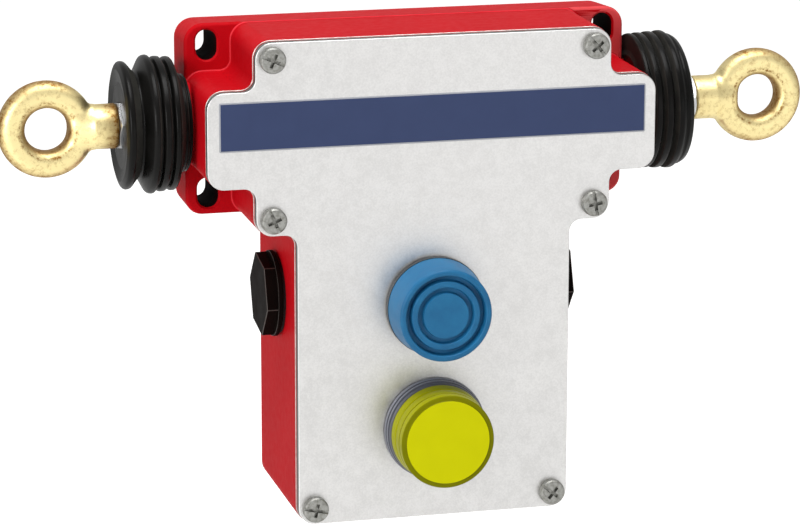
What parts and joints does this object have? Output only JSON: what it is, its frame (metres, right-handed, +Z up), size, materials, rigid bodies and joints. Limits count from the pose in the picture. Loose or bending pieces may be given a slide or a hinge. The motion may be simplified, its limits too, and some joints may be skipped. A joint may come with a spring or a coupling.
{
  "type": "rope pull switch",
  "caption": "Wall-mounted rope pull switch: T-shaped box, sprung shaft between rope eyes, rubber bellows, booted reset button and pilot light.",
  "frame": {"origin": "on the mounting plane at the back of the housing, straight behind the middle of the rope axis", "axes": "+X along the rope axis to the right as seen from the front, +Y into the wall, +Z up"},
  "size_m": [0.2722, 0.0745, 0.161],
  "materials": {
    "red_enamel": "gloss enamel on cast aluminium",
    "plate_aluminium": "satin, clear anodised",
    "label_blue": "printed film, bare",
    "screw_zinc": "grey zinc plate",
    "bellows_rubber": "moulded, satin",
    "seal_rubber": "matt",
    "bronze": "sintered bronze",
    "plug_plastic": "moulded",
    "mechanism_steel": "plain rolled or turned steel",
    "spring_steel": "drawn wire",
    "shaft_zinc": "bright zinc plate",
    "eye_yellow_zinc": "yellow-passivated zinc on forged steel",
    "contact_black": "moulded",
    "slider_nylon": "natural nylon",
    "lever_nylon": "glass-filled nylon",
    "earth_brass": "turned",
    "bezel_grey": "moulded",
    "boot_silicone": "silicone, satin",
    "head_black": "moulded",
    "lens_yellow": "tinted translucent",
    "lamp_glass": "clear"
  },
  "bodies": {
    "switch_body": {"housing": "red_enamel", "cover_plate": "plate_aluminium", "cover_gasket": "seal_rubber", "cover_screws": "screw_zinc", "label_strip": "label_blue", "guide_bush_left": "bronze", "guide_bush_right": "bronze", "bellows_left": "bellows_rubber", "bellows_right": "bellows_rubber", "entry_plug_left": "plug_plastic", "entry_plug_right": "plug_plastic", "plug_seal_left": "seal_rubber", "plug_seal_right": "seal_rubber", "mechanism_frame": "mechanism_steel", "frame_screws": "mechanism_steel", "lever_pin": "mechanism_steel", "pawl_pin": "mechanism_steel", "contact_block_left": "contact_black", "contact_block_right": "contact_black", "contact_terminals": "shaft_zinc", "earth_screw": "earth_brass", "reset_gasket": "seal_rubber", "reset_bezel": "bezel_grey", "reset_nut": "head_black", "reset_boot_skirt": "boot_silicone", "reset_spring": "spring_steel", "pilot_gasket": "seal_rubber", "pilot_barrel": "head_black", "pilot_nut": "head_black", "pilot_lens": "lens_yellow", "pilot_lamp": "lamp_glass", "lamp_holder": "contact_black", "lamp_terminals": "shaft_zinc", "centring_spring_left": "spring_steel", "centring_spring_right": "spring_steel", "pawl_spring": "spring_steel"},
    "rope_shaft": {"pull_shaft": "shaft_zinc", "cam_spool": "mechanism_steel", "spool_clips": "mechanism_steel", "spring_seat_left": "shaft_zinc", "spring_seat_right": "shaft_zinc", "lock_nut_left": "shaft_zinc", "lock_nut_right": "shaft_zinc", "eye_nut_left": "eye_yellow_zinc", "eye_nut_right": "eye_yellow_zinc"},
    "lever": {"switch_lever": "lever_nylon"},
    "slider": {"contact_slider": "slider_nylon"},
    "reset_button": {"reset_boot_cap": "boot_silicone", "reset_plunger": "head_black"},
    "pawl": {"latch_pawl": "lever_nylon"}
  },
  "joints": [
    {"name": "shaft_slide", "type": "slide", "parent": "switch_body", "child": "rope_shaft", "axis": [1, 0, 0], "range_m": [-0.005, 0.005], "stiffness_N_per_m": 12000, "deforming": ["bellows_left", "bellows_right", "centring_spring_left", "centring_spring_right"]},
    {"name": "lever_turn", "type": "hinge", "parent": "switch_body", "child": "lever", "pos_m": [0, -0.022, -0.022], "axis": [0, 1, 0], "range_deg": [-13.2, 13.2]},
    {"name": "contact_slide", "type": "slide", "parent": "switch_body", "child": "slider", "axis": [1, 0, 0], "range_m": [-0.0038, 0.0038]},
    {"name": "reset_press", "type": "slide", "parent": "switch_body", "child": "reset_button", "axis": [0, 1, 0], "range_m": [0, 0.004], "stiffness_N_per_m": 2000, "springref_m": -0.002, "deforming": ["reset_boot_skirt", "reset_spring"]},
    {"name": "pawl_lift", "type": "hinge", "parent": "switch_body", "child": "pawl", "pos_m": [0, -0.041, -0.027], "axis": [1, 0, 0], "range_deg": [0, 7.8], "deforming": ["pawl_spring"]}
  ],
  "couplings": [
    {"joint": "lever_turn", "follows": "shaft_slide", "rad_per_m": 45.455},
    {"joint": "contact_slide", "follows": "shaft_slide", "ratio": -0.72727},
    {"joint": "pawl_lift", "follows": "reset_press", "rad_per_m": 33.113}
  ]
}
